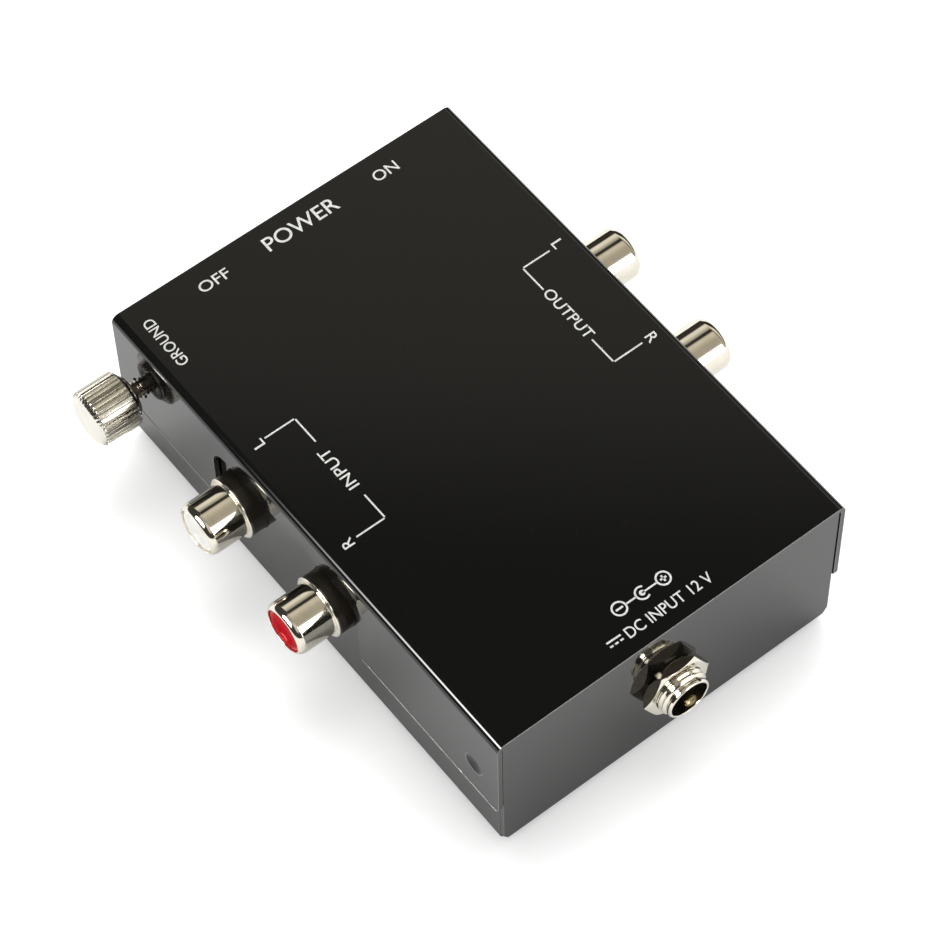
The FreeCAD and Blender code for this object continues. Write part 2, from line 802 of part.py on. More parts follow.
def signal_capacitors():
    reach = chip_row / 2 + 2 * part_gap + film_width + part_gap + small_can_radius
    cans = []
    for y in jack_ys.values():
        for side in (-1, 1):
            for step in (-1, 1):
                cans.append(can(side * reach, y + step * (small_can_radius + part_gap), small_can_radius,
                                small_can_height))
    return Part.makeCompound(cans)


def supply_capacitors():
    """One on each side of the supply socket's body."""
    reach = thread_radius + fit_clearance + socket_body_wall + part_gap + big_can_radius
    y = -panel_inner_y + lock_washer_thickness + barrel_depth
    return Part.makeCompound([can(socket_x + side * reach, y, big_can_radius, big_can_height)
                              for side in (-1, 1)])


def socket_reach():
    """How far the supply socket reaches over the board from the board's near edge."""
    back = sheet + lock_washer_thickness + barrel_depth + socket_body_back + pin_tail + lug_length
    return back - (panel_y - board_half_y)


def film_capacitors():
    reach = chip_row / 2 + 2 * part_gap + film_width / 2
    boxes = []
    for x, y in chip_places():
        for side in (-1, 1):
            for step in (-1, 1):
                middle = y + step * (film_length + part_gap) / 2
                boxes.append(box((x + side * reach - film_width / 2, x + side * reach + film_width / 2),
                                 (middle - film_length / 2, middle + film_length / 2),
                                 (board_top, board_top + film_lift + film_height)))
    return Part.makeCompound(boxes)


def resistors():
    """Two columns of axial resistors beside the switch's terminals."""
    y_last = switch_rear() - part_gap - resistor_radius
    bodies = []
    for row in range(2):
        for k in range(resistor_rows):
            x = (row - 0.5) * (lead_span + 2 * part_gap)
            y = y_last - k * resistor_pitch
            z = board_top + resistor_lift + resistor_radius
            body = rod(resistor_radius, V(x - resistor_length / 2, y, z), V(x + resistor_length / 2, y, z))
            lead = wire_run([V(x - lead_span / 2, y, board_top), V(x - lead_span / 2, y, z),
                             V(x + lead_span / 2, y, z), V(x + lead_span / 2, y, board_top)], lead_radius)
            bodies.append(joined([body, lead]))
    return Part.makeCompound(bodies)


def regulator_place():
    return board_half_x - regulator_width, -board_half_y + socket_reach()


def voltage_regulator():
    """Three-leg regulator standing on its leads, its metal tab at the back."""
    x, y = regulator_place()
    low = board_top + regulator_lift
    body = box((x - regulator_width / 2, x + regulator_width / 2), (y, y + regulator_thickness),
               (low, low + regulator_height))
    legs = [box((x + k * chip_pitch - lead_radius, x + k * chip_pitch + lead_radius),
                (y + regulator_thickness / 2, y + regulator_thickness / 2 + 2 * lead_radius),
                (board_top, low)) for k in (-1, 0, 1)]
    return joined([body] + legs)


def regulator_tab_plate():
    x, y = regulator_place()
    low = board_top + regulator_lift
    top = low + regulator_height + regulator_width / 2
    plate = box((x - regulator_width / 2, x + regulator_width / 2), (y - regulator_tab, y),
                (low, min(top, wall_top - board_margin)))
    hole = rod(screw_radius, V(x, y - 2 * regulator_tab, low + regulator_height + 2),
               V(x, y + regulator_tab, low + regulator_height + 2))
    return plate.cut(hole)


def header_place():
    return -board_half_x + header_pins * header_pitch, -board_half_y + socket_reach() + header_depth / 2


def wire_header():
    x, y = header_place()
    half = header_pins * header_pitch / 2
    return box((x - half, x + half), (y - header_depth / 2, y + header_depth / 2),
               (board_top, board_top + header_height))


def header_slot(k):
    """Top of one of the header's positions, where a wire ends."""
    x, y = header_place()
    return V(x + (k - (header_pins - 1) / 2) * header_pitch, y, board_top + header_height)


def supply_wire():
    """From the centre pin's lug, over to the header's near position."""
    tail = panel_y - sheet - lock_washer_thickness - barrel_depth - socket_body_back - pin_tail
    start = V(socket_x, -tail - pin_radius + lug_length, socket_z)
    end = header_slot(2)
    middle = (start + end) * 0.5
    return wire_run([start, start + V(0, 4, 0), V(middle.x, end.y + 3, end.z + 4.5),
                     end + V(0, 0, 6), end], wire_radius)


def return_wire():
    """From the sleeve lug to the header's far position, below the supply wire."""
    floor = panel_y - sheet - lock_washer_thickness - barrel_depth
    z = socket_z - (socket_bore + thread_radius) / 2
    start = V(socket_x, -floor + socket_body_back + lug_length, z)
    end = header_slot(0)
    return wire_run([start, start + V(0, 5, 0), V(start.x - 9, start.y, start.z + 1),
                     end + V(0, 0, 5), end], wire_radius)


def ground_wire():
    """From the solder lug's tongue down to the board."""
    start = V(-wall_inner_x + solder_lug_thickness + wire_radius,
              fastener_y - solder_lug_length + 2 * wire_radius, fastener_z - solder_lug_width / 2)
    return wire_run([start, start - V(0, 0, 2.5), V(start.x + 3, start.y - 2, board_top + 2.5),
                     V(start.x + 3, start.y - 2, board_top)], wire_radius)


def all_parts():
    parts = {
        "base_tray": base_tray(), "top_cover": top_cover(), "rubber_feet": rubber_feet(),
        "circuit_board": circuit_board(), "board_pillars": board_pillars(),
        "board_screws": board_screws(),
        "dc_socket_barrel": socket_barrel(), "dc_socket_body": socket_body(),
        "dc_socket_pin": socket_pin(), "dc_socket_nut": socket_nut(),
        "dc_lock_washer": socket_lock_washer(), "dc_sleeve_lug": socket_sleeve_lug(),
        "ground_knob": ground_knob(), "ground_screw": ground_screw(),
        "ground_washer": clamp_washer(), "ground_solder_lug": solder_lug(),
        "ground_clinch_nut": clinch_nut(),
        "power_switch_frame": switch_frame(), "power_switch_base": switch_base_plate(),
        "power_switch_slider": switch_carriage(), "power_switch_bridge": switch_bridge(),
        "power_switch_terminals": Part.makeCompound(switch_terminals()),
        "op_amps": op_amps(), "op_amp_leads": op_amp_leads(),
        "signal_capacitors": signal_capacitors(), "supply_capacitors": supply_capacitors(),
        "film_capacitors": film_capacitors(), "resistors": resistors(),
        "voltage_regulator": voltage_regulator(), "regulator_tab": regulator_tab_plate(),
        "wire_header": wire_header(), "supply_wire": supply_wire(),
        "return_wire": return_wire(), "ground_wire": ground_wire(),
    }
    for channel_name, y in jack_ys.items():
        for kind, maker in (("housing", jack_housing), ("shell", jack_shell),
                            ("insulator", jack_insulator), ("contact", jack_contact)):
            parts["output_%s_%s" % (channel_name, kind)] = maker(y, boss_lengths["output"])
            parts["input_%s_%s" % (channel_name, kind)] = mirrored(maker(y, boss_lengths["input"]))
    return parts


os.makedirs("parts", exist_ok=True)
for name, shape in all_parts().items():
    shape.exportStep("parts/%s.step" % name)
    print("%-24s %2d solids %10.2f mm3 valid %s" % (name, len(shape.Solids), shape.Volume, shape.isValid()))
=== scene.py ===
import json
import math

import bpy
from mathutils import Matrix, Vector

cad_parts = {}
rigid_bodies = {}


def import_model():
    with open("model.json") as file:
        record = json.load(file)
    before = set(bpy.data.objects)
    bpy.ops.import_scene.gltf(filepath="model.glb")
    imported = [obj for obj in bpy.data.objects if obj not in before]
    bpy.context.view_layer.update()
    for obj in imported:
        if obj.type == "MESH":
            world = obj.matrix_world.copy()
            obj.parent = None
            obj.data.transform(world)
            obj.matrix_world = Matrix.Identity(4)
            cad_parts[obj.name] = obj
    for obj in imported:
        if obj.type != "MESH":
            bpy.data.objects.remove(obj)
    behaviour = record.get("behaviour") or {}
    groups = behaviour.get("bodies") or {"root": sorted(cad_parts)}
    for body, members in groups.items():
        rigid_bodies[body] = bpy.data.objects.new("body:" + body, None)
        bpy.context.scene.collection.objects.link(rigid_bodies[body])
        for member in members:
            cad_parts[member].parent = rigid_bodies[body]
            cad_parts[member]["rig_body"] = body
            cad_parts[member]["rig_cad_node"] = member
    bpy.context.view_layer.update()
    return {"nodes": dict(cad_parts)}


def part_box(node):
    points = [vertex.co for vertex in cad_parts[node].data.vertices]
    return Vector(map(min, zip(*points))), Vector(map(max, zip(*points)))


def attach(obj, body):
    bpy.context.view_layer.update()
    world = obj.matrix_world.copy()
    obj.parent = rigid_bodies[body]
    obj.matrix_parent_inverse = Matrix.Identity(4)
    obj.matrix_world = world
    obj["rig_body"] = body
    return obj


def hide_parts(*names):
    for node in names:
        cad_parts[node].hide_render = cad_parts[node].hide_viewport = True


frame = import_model()
nodes = frame["nodes"]
MM = 0.001


# The view, the floor and the light. The camera stands above the supply-socket end,
# about half a metre off, with a long lens. The floor is a pale board under a soft key
# light, and what gloss reflects is a dark studio with pale walls and two softboxes.

scene = bpy.context.scene
scene.view_settings.view_transform = "Standard"

camera_place = Vector((-171.44, -228.22, 467.47)) * MM
camera_right = Vector((0.787087, -0.616702, -0.013164))
camera_up = Vector((0.528044, 0.662596, 0.531165))
camera_back = Vector((-0.318848, -0.425024, 0.847166))
camera_lens = 144.2
camera_data = bpy.data.cameras.new("camera")
camera_data.lens = camera_lens
camera_data.sensor_width = 36.0
camera_data.clip_start = 0.01
camera = bpy.data.objects.new("camera", camera_data)
turn = Matrix((camera_right, camera_up, camera_back)).transposed().to_4x4()
camera.matrix_world = Matrix.Translation(camera_place) @ turn
scene.collection.objects.link(camera)
scene.camera = camera

floor_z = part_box("rubber_feet")[0][2]
floor_reach = 3.0
floor_colour = (0.85, 0.85, 0.845, 1)
floor_glow = 0.30


def add_node(tree, kind, **values):
    """A node of a tree, with its inputs and properties set by name."""
    made = tree.nodes.new(kind)
    for key, value in values.items():
        if key in made.inputs:
            made.inputs[key].default_value = value
        else:
            setattr(made, key, value)
    return made


def new_tree(name):
    """A material with an empty tree and its output."""
    material = bpy.data.materials.new(name)
    material.use_nodes = True
    tree = material.node_tree
    tree.nodes.clear()
    return material, tree, tree.nodes.new("ShaderNodeOutputMaterial")


def board_white():
    """Matt white board: it takes the shadow, and is white where it is lit."""
    material, tree, output = new_tree("board_white")
    skin = tree.nodes.new("ShaderNodeBsdfDiffuse")
    skin.inputs["Color"].default_value = floor_colour
    glow = tree.nodes.new("ShaderNodeEmission")
    path = tree.nodes.new("ShaderNodeLightPath")
    share = add_node(tree, "ShaderNodeMath", operation="MULTIPLY")
    share.inputs[1].default_value = floor_glow
    tree.links.new(path.outputs["Is Camera Ray"], share.inputs[0])
    tree.links.new(share.outputs[0], glow.inputs["Strength"])
    both = tree.nodes.new("ShaderNodeAddShader")
    tree.links.new(skin.outputs[0], both.inputs[0])
    tree.links.new(glow.outputs[0], both.inputs[1])
    tree.links.new(both.outputs[0], output.inputs["Surface"])
    return material


bpy.ops.object.select_all(action="DESELECT")
bpy.ops.mesh.primitive_plane_add(size=2 * floor_reach, location=(0, 0, floor_z))
floor = bpy.context.object
floor.name = "floor"
floor.data.materials.append(board_white())

world = bpy.data.worlds.new("room")
scene.world = world
world.use_nodes = True
room = world.node_tree
room.nodes.clear()
room_out = room.nodes.new("ShaderNodeOutputWorld")
direction = room.nodes.new("ShaderNodeTexCoord")
split = room.nodes.new("ShaderNodeSeparateXYZ")
room.links.new(direction.outputs["Generated"], split.inputs[0])


def room_math(operation, first, second):
    """One sum in the room's tree, on sockets or plain numbers."""
    made = add_node(room, "ShaderNodeMath", operation=operation)
    for socket, value in zip(made.inputs, (first, second)):
        if isinstance(value, (int, float)):
            socket.default_value = value
        else:
            room.links.new(value, socket)
    return made.outputs[0]


def room_step(value, low, high):
    """Rises softly from 0 at low to 1 at high, or falls when low is the greater."""
    made = room.nodes.new("ShaderNodeMapRange")
    made.interpolation_type = "SMOOTHSTEP"
    room.links.new(value, made.inputs["Value"])
    made.inputs["From Min"].default_value = min(low, high)
    made.inputs["From Max"].default_value = max(low, high)
    made.inputs["To Min"].default_value = 0.0 if low < high else 1.0
    made.inputs["To Max"].default_value = 1.0 if low < high else 0.0
    return made.outputs["Result"]


swing_east, swing_north = 0.652, 0.758
front_strength = 6.5
side_strength = 30.0
fill_strength = 0.95
dark_room = (0.045, 0.043, 0.040, 1)
box_tint = (1.0, 0.99, 0.97, 1)
east, north, up = split.outputs["X"], split.outputs["Y"], split.outputs["Z"]
across = room_math("ADD", room_math("MULTIPLY", east, swing_east),
                   room_math("MULTIPLY", north, swing_north))
swing = room_math("ADD", room_math("DIVIDE", room_math("ARCTAN2", across, up), math.pi), 0.5)
walls = room.nodes.new("ShaderNodeValToRGB")
room.links.new(swing, walls.inputs["Fac"])
dark_gap = (0.03, 0.029, 0.027)
wall_stops = (
    (0.00, (0.75, 0.73, 0.68)), (0.31, (0.70, 0.67, 0.60)), (0.40, (0.40, 0.37, 0.31)),
    (0.50, (0.44, 0.40, 0.32)), (0.58, (0.66, 0.61, 0.50)), (0.610, (0.62, 0.57, 0.46)),
    (0.632, dark_gap), (0.6725, dark_gap), (0.687, (0.34, 0.325, 0.275)),
    (0.70, (0.42, 0.39, 0.32)), (0.765, (0.86, 0.82, 0.72)), (0.815, (0.82, 0.77, 0.66)),
    (0.838, (0.035, 0.030, 0.024)), (1.00, (0.03, 0.027, 0.022)))
for place, value in wall_stops[1:-1]:
    walls.color_ramp.elements.new(place)
for element, (place, value) in zip(walls.color_ramp.elements, wall_stops):
    element.position = place
    element.color = value + (1,)
wall_share = room_step(east, 0.05, 0.16)
left_wall = room_math("MULTIPLY", room_step(north, 0.33, 0.22), room_step(east, -0.48, -0.30))
left_wall = room_math("MULTIPLY", left_wall, room_step(up, 0.30, 0.55))
wall_share = room_math("MAXIMUM", wall_share, left_wall)
front_box = room_math("MULTIPLY", room_step(swing, 0.345, 0.315), room_step(up, 0.0, 0.06))
front_box = room_math("MULTIPLY", front_box, room_step(east, 0.08, 0.16))
side_box = room_math("MULTIPLY", room_step(east, -0.50, -0.56), room_step(east, -0.80, -0.74))
side_box = room_math("MULTIPLY", side_box, room_step(north, 0.465, 0.36))
side_box = room_math("MULTIPLY", side_box, room_step(north, -0.40, -0.20))
side_box = room_math("MULTIPLY", side_box, room_step(up, 0.25, 0.40))
boxes = room_math("ADD", room_math("MULTIPLY", front_box, front_strength),
                  room_math("MULTIPLY", side_box, side_strength))
tinted = room.nodes.new("ShaderNodeMixRGB")
tinted.inputs["Color1"].default_value = dark_room
room.links.new(wall_share, tinted.inputs["Fac"])
room.links.new(walls.outputs["Color"], tinted.inputs["Color2"])
reflected = room.nodes.new("ShaderNodeBackground")
room.links.new(tinted.outputs[0], reflected.inputs["Color"])
softboxes = add_node(room, "ShaderNodeBackground", Color=box_tint)
room.links.new(boxes, softboxes.inputs["Strength"])
gloss_room = room.nodes.new("ShaderNodeAddShader")
room.links.new(reflected.outputs[0], gloss_room.inputs[0])
room.links.new(softboxes.outputs[0], gloss_room.inputs[1])
plain = add_node(room, "ShaderNodeBackground", Color=(1, 1, 1, 1), Strength=fill_strength)
backdrop = add_node(room, "ShaderNodeBackground", Color=(1, 1, 1, 1), Strength=1.0)
path = room.nodes.new("ShaderNodeLightPath")
by_eye = room.nodes.new("ShaderNodeMixShader")
room.links.new(path.outputs["Is Camera Ray"], by_eye.inputs[0])
room.links.new(plain.outputs[0], by_eye.inputs[1])
room.links.new(backdrop.outputs[0], by_eye.inputs[2])
by_gloss = room.nodes.new("ShaderNodeMixShader")
room.links.new(path.outputs["Is Glossy Ray"], by_gloss.inputs[0])
room.links.new(by_eye.outputs[0], by_gloss.inputs[1])
room.links.new(gloss_room.outputs[0], by_gloss.inputs[2])
room.links.new(by_gloss.outputs[0], room_out.inputs["Surface"])


def add_softbox(name, place, size, power):
    """A square soft light that points at the object, and that its gloss doesn't show."""
    data = bpy.data.lights.new(name, "AREA")
    data.size = size
    data.energy = power
    lamp = bpy.data.objects.new(name, data)
    lamp.location = place
    aim = Vector((0, 0, 0)) - Vector(place)
    lamp.rotation_euler = aim.to_track_quat("-Z", "Y").to_euler()
    lamp.visible_glossy = False
    scene.collection.objects.link(lamp)


key_place = (0.34, 0.42, 1.55)
key_size = 0.95
key_power = 14.0
add_softbox("key_light", key_place, key_size, key_power)


# Cover: one folded sheet of 0.8 mm steel in gloss black paint, with a window in each
# side flange round the jacks, and round dimples that snap into the tray. The paint
# softens the cut edges and dries as a bead below; the rounded edges and the beads are
# painted a lighter grey, a painted highlight for the thin line of light each carries.

paint_colour = (0.0050, 0.0049, 0.0047, 1)
# Lighter grey for the rounded edge strips of the cover and tray: a painted highlight.
edge_highlight_colour = (0.16, 0.16, 0.155, 1)
# Lighter grey for the paint beads along the flanges' lower edges: a painted highlight.
bead_highlight_colour = (0.26, 0.26, 0.25, 1)
speck_colour = (0.020, 0.020, 0.019, 1)
paint_edge = 0.24
bead_radius = 0.13
bead_end_gap = 0.5
window_near, window_far = -13.4, 20.8
merge_within = 0.002
same_plane = math.radians(0.6)
smooth_below = math.radians(24)
bevel_above = math.radians(28)


def only(piece):
    """This piece alone is selected and active."""
    bpy.ops.object.select_all(action="DESELECT")
    piece.select_set(True)
    bpy.context.view_layer.objects.active = piece


def gloss_paint(name, base):
    """Stoved gloss paint: a faint orange peel, a few fine specks, a hard clear skin."""
    material, tree, output = new_tree(name)
    skin = add_node(tree, "ShaderNodeBsdfPrincipled", **{"Roughness": 0.06, "IOR": 1.5})
    place = tree.nodes.new("ShaderNodeTexCoord")
    peel = add_node(tree, "ShaderNodeTexNoise",
                    **{"Scale": 900.0, "Detail": 2.0, "Roughness": 0.45})
    tree.links.new(place.outputs["Object"], peel.inputs["Vector"])
    wave = add_node(tree, "ShaderNodeTexNoise", **{"Scale": 60.0, "Detail": 1.0})
    tree.links.new(place.outputs["Object"], wave.inputs["Vector"])
    low = add_node(tree, "ShaderNodeBump", **{"Strength": 0.05, "Distance": 0.0002})
    tree.links.new(wave.outputs["Fac"], low.inputs["Height"])
    bump = add_node(tree, "ShaderNodeBump", **{"Strength": 0.03, "Distance": 0.00002})
    tree.links.new(peel.outputs["Fac"], bump.inputs["Height"])
    tree.links.new(low.outputs["Normal"], bump.inputs["Normal"])
    tree.links.new(bump.outputs["Normal"], skin.inputs["Normal"])
    gloss = tree.nodes.new("ShaderNodeMapRange")
    gloss.inputs["To Min"].default_value = 0.045
    gloss.inputs["To Max"].default_value = 0.075
    tree.links.new(wave.outputs["Fac"], gloss.inputs["Value"])
    tree.links.new(gloss.outputs["Result"], skin.inputs["Roughness"])
    specks = add_node(tree, "ShaderNodeTexNoise", **{"Scale": 2600.0, "Detail": 1.0})
    tree.links.new(place.outputs["Object"], specks.inputs["Vector"])
    few = tree.nodes.new("ShaderNodeValToRGB")
    few.color_ramp.elements[0].position = 0.80
    few.color_ramp.elements[0].color = base
    few.color_ramp.elements[1].position = 0.86
    few.color_ramp.elements[1].color = speck_colour
    tree.links.new(specks.outputs["Fac"], few.inputs["Fac"])
    tree.links.new(few.outputs["Color"], skin.inputs["Base Color"])
    tree.links.new(skin.outputs[0], output.inputs["Surface"])
    return material


def softened_copy(node, name, edge, finishes, rim=0):
    """The node's own shape as one merged mesh, its sharp edges rounded a little."""
    piece = nodes[node].copy()
    piece.data = nodes[node].data.copy()
    piece.name = name
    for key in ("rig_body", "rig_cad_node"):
        if key in piece:
            del piece[key]
    piece.parent = None
    piece.matrix_world = Matrix.Identity(4)
    scene.collection.objects.link(piece)
    piece.data.materials.clear()
    for finish in finishes:
        piece.data.materials.append(finish)
    only(piece)
    bpy.ops.object.mode_set(mode="EDIT")
    bpy.ops.mesh.select_all(action="SELECT")
    bpy.ops.mesh.remove_doubles(threshold=merge_within * MM)
    bpy.ops.mesh.customdata_custom_splitnormals_clear()
    bpy.ops.mesh.dissolve_limited(angle_limit=same_plane)
    bpy.ops.object.mode_set(mode="OBJECT")
    soften(piece, edge, rim=rim)
    return piece


def soften(piece, edge, segments=3, rim=0):
    """Rounds sharp edges, then shades what is left smooth up to a fixed angle.
    The rounded strips take the piece's material number rim."""
    only(piece)
    bevel = piece.modifiers.new("edge", "BEVEL")
    bevel.width = edge * MM
    bevel.segments = segments
    bevel.material = rim
    bevel.limit_method = "ANGLE"
    bevel.angle_limit = bevel_above
    bpy.ops.object.modifier_apply(modifier="edge")
    bpy.ops.object.shade_smooth_by_angle(angle=smooth_below)
    normals = piece.modifiers.new("normals", "WEIGHTED_NORMAL")
    normals.keep_sharp = True
    bpy.ops.object.modifier_apply(modifier="normals")


paint = gloss_paint("gloss_black_paint", paint_colour)
edge_highlight_paint = gloss_paint("edge_highlight_gloss", edge_highlight_colour)
bead_highlight_paint = gloss_paint("bead_painted_highlight", bead_highlight_colour)
# The cover's rounded edge strips take the lighter grey: a painted highlight.
cover = softened_copy("top_cover", "cover", paint_edge, (paint, edge_highlight_paint), rim=1)
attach(cover, "case")
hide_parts("top_cover")


def paint_bead(name, side, start, end):
    """The fine bead in which the paint dries along a flange's lower edge, coloured a lighter grey as a
    painted highlight.
    """
    x = side * (cover_reach - bead_radius * MM / 3)
    bpy.ops.object.select_all(action="DESELECT")
    bpy.ops.mesh.primitive_cylinder_add(
        vertices=16, radius=bead_radius * MM, depth=end - start,
        rotation=(math.radians(90), 0, 0),
        location=(x, (start + end) / 2, cover_foot + bead_radius * MM))
    piece = bpy.context.object
    piece.name = name
    bpy.ops.object.transform_apply(location=True, rotation=True, scale=True)
    bpy.ops.object.shade_smooth_by_angle(angle=math.radians(40))
    piece.data.materials.append(bead_highlight_paint)
    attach(piece, "case")


cover_low, cover_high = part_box("top_cover")
cover_reach = cover_high[0]
cover_foot = cover_low[2]
for name, side in (("left", -1), ("right", 1)):
    paint_bead(f"bead_{name}_near", side, cover_low[1] + bead_end_gap * MM, window_near * MM)
    paint_bead(f"bead_{name}_far", side, window_far * MM, cover_high[1] - bead_end_gap * MM)


# Tray: the folded lower half of the case, in the same sheet and paint, whose walls
# stand just inside the cover's flanges and whose end panels carry the sockets.

# The tray's rounded edge strips take the lighter grey: a painted highlight.
tray = softened_copy("base_tray", "tray", paint_edge, (paint, edge_highlight_paint), rim=1)
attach(tray, "case")
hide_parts("base_tray")


# Feet: four round stick-on pads of black rubber with a matt, slightly grainy face.

def grained(name, colour, roughness, grain_scale, grain_depth, tint=0.2, shine=0.5):
    """A moulded or rubbery finish: fine grain in the surface, a little cloud in the colour."""
    material, tree, output = new_tree(name)
    skin = add_node(tree, "ShaderNodeBsdfPrincipled", **{"Specular IOR Level": shine})
    place = tree.nodes.new("ShaderNodeTexCoord")
    grain = add_node(tree, "ShaderNodeTexNoise", **{"Scale": grain_scale, "Detail": 3.0})
    tree.links.new(place.outputs["Object"], grain.inputs["Vector"])
    bump = add_node(tree, "ShaderNodeBump", **{"Strength": 0.4, "Distance": grain_depth * MM})
    tree.links.new(grain.outputs["Fac"], bump.inputs["Height"])
    tree.links.new(bump.outputs["Normal"], skin.inputs["Normal"])
    cloud = add_node(tree, "ShaderNodeTexNoise", **{"Scale": grain_scale / 12, "Detail": 2.0})
    tree.links.new(place.outputs["Object"], cloud.inputs["Vector"])
    shade = tree.nodes.new("ShaderNodeValToRGB")
    shade.color_ramp.elements[0].position = 0.3
    shade.color_ramp.elements[0].color = tuple(c * (1 - tint) for c in colour[:3]) + (1,)
    shade.color_ramp.elements[1].position = 0.7
    shade.color_ramp.elements[1].color = tuple(min(1, c * (1 + tint)) for c in colour[:3]) + (1,)
    tree.links.new(cloud.outputs["Fac"], shade.inputs["Fac"])
    tree.links.new(shade.outputs["Color"], skin.inputs["Base Color"])
    rough = tree.nodes.new("ShaderNodeMapRange")
    rough.inputs["To Min"].default_value = roughness * 0.85
    rough.inputs["To Max"].default_value = min(1, roughness * 1.15)
    tree.links.new(cloud.outputs["Fac"], rough.inputs["Value"])
    tree.links.new(rough.outputs["Result"], skin.inputs["Roughness"])
    tree.links.new(skin.outputs[0], output.inputs["Surface"])
    return material


def dress(node, material):
    """The node keeps its shape and takes this finish."""
    piece = nodes[node]
    piece.data.materials.clear()
    piece.data.materials.append(material)


dress("rubber_feet", grained("foot_rubber", (0.02, 0.02, 0.02), 0.75, 3000, 0.05))


# Phono jacks: a nickel-plated sleeve with a ring at its foot, on a round black boss.
# The sleeve's mouth is rolled in over a dished plug of white or red plastic, which
# holds the split contact for the plug's pin.

ring_radius = 4.85
ring_thickness = 0.5
sleeve_radius = 4.15
sleeve_length = 6.1
sleeve_bore = 3.75
mouth_radius = 3.45
jack_axis_z = 17.4
nickel_colour = (0.83, 0.785, 0.68)
jack_seats = {"input": 31.65, "output": 32.25}
jack_ys = {"left": 13.86, "right": -6.46}
sides = {"input": -1, "output": 1}


def plated(name, colour, roughness, marks=0.3):
    """Plated metal with faint turning marks and small rubbed spots."""
    material, tree, output = new_tree(name)
    skin = add_node(tree, "ShaderNodeBsdfPrincipled", **{"Metallic": 1.0, "Roughness": roughness})
    place = tree.nodes.new("ShaderNodeTexCoord")
    cloud = add_node(tree, "ShaderNodeTexNoise", **{"Scale": 420.0, "Detail": 4.0})
    tree.links.new(place.outputs["Object"], cloud.inputs["Vector"])
    shade = tree.nodes.new("ShaderNodeValToRGB")
    shade.color_ramp.elements[0].position = 0.3
    shade.color_ramp.elements[0].color = tuple(c * 0.94 for c in colour) + (1,)
    shade.color_ramp.elements[1].position = 0.7
    shade.color_ramp.elements[1].color = tuple(c * 1.06 for c in colour) + (1,)
    tree.links.new(cloud.outputs["Fac"], shade.inputs["Fac"])
    tree.links.new(shade.outputs["Color"], skin.inputs["Base Color"])
    rubbed = tree.nodes.new("ShaderNodeMapRange")
    rubbed.inputs["To Min"].default_value = roughness * 0.7
    rubbed.inputs["To Max"].default_value = roughness * 1.4
    tree.links.new(cloud.outputs["Fac"], rubbed.inputs["Value"])
    tree.links.new(rubbed.outputs["Result"], skin.inputs["Roughness"])
    fine = add_node(tree, "ShaderNodeTexNoise", **{"Scale": 1500.0, "Detail": 2.0})
    tree.links.new(place.outputs["Object"], fine.inputs["Vector"])
    bump = add_node(tree, "ShaderNodeBump", **{"Strength": 0.08 * marks, "Distance": 0.00002})
    tree.links.new(fine.outputs["Fac"], bump.inputs["Height"])
    tree.links.new(bump.outputs["Normal"], skin.inputs["Normal"])
    tree.links.new(skin.outputs[0], output.inputs["Surface"])
    return material


def turned(name, profile, sides_round=96, ring=False):
    """A turned piece along +Z: a circle drawn out and sized along (along, radius) in mm."""
    along, radius = profile[0]
    bpy.ops.object.select_all(action="DESELECT")
    bpy.ops.mesh.primitive_circle_add(
        vertices=sides_round, radius=radius * MM, location=(0, 0, along * MM))
    piece = bpy.context.object
    piece.name = name
    bpy.ops.object.mode_set(mode="EDIT")
    bpy.ops.mesh.select_mode(type="VERT")
    bpy.ops.mesh.select_all(action="SELECT")
    if not ring:
        bpy.ops.mesh.edge_face_add()
    draw_out = bpy.ops.mesh.extrude_edges_move if ring else bpy.ops.mesh.extrude_region_move
    for step, size in profile[1:]:
        draw_out(TRANSFORM_OT_translate={"value": (0, 0, (step - along) * MM)})
        share = size / radius
        bpy.ops.transform.resize(value=(share, share, 1), center_override=(0, 0, step * MM))
        along, radius = step, size
    if ring:
        bpy.ops.mesh.select_all(action="DESELECT")
        bpy.ops.mesh.select_non_manifold()
        bpy.ops.mesh.bridge_edge_loops()
    bpy.ops.mesh.select_all(action="SELECT")
    bpy.ops.mesh.remove_doubles(threshold=0.001 * MM)
    bpy.ops.mesh.normals_make_consistent(inside=False)
    bpy.ops.object.mode_set(mode="OBJECT")
    bpy.ops.object.transform_apply(location=True, rotation=True, scale=True)
    return piece


def put(piece, place, direction):
    """Turns a piece from +Z to a direction, moves it to its place, and applies both."""
    only(piece)
    piece.rotation_mode = "QUATERNION"
    piece.rotation_quaternion = Vector(direction).to_track_quat("Z", "Y")
    piece.location = Vector(place) * MM
    bpy.ops.object.transform_apply(location=True, rotation=True, scale=True)


nickel = plated("jack_nickel", nickel_colour, 0.07)
sleeve_tip = ring_thickness + sleeve_length
sleeve_profile = [
    (0.0, sleeve_bore), (0.0, ring_radius - 0.12), (0.12, ring_radius),
    (ring_thickness - 0.12, ring_radius), (ring_thickness, ring_radius - 0.12),
    (ring_thickness, sleeve_radius + 0.06),
    (ring_thickness + 0.06, sleeve_radius), (sleeve_tip - 1.1, sleeve_radius),
    (sleeve_tip - 0.92, sleeve_radius - 0.03), (sleeve_tip - 0.62, sleeve_radius - 0.11),
    (sleeve_tip - 0.36, sleeve_radius - 0.23), (sleeve_tip - 0.15, sleeve_radius - 0.38),
    (sleeve_tip - 0.04, sleeve_radius - 0.53), (sleeve_tip, mouth_radius + 0.08),
    (sleeve_tip - 0.06, mouth_radius), (sleeve_tip - 0.5, mouth_radius),
    (sleeve_tip - 0.5, sleeve_bore)]
plug_front = sleeve_tip - 0.25
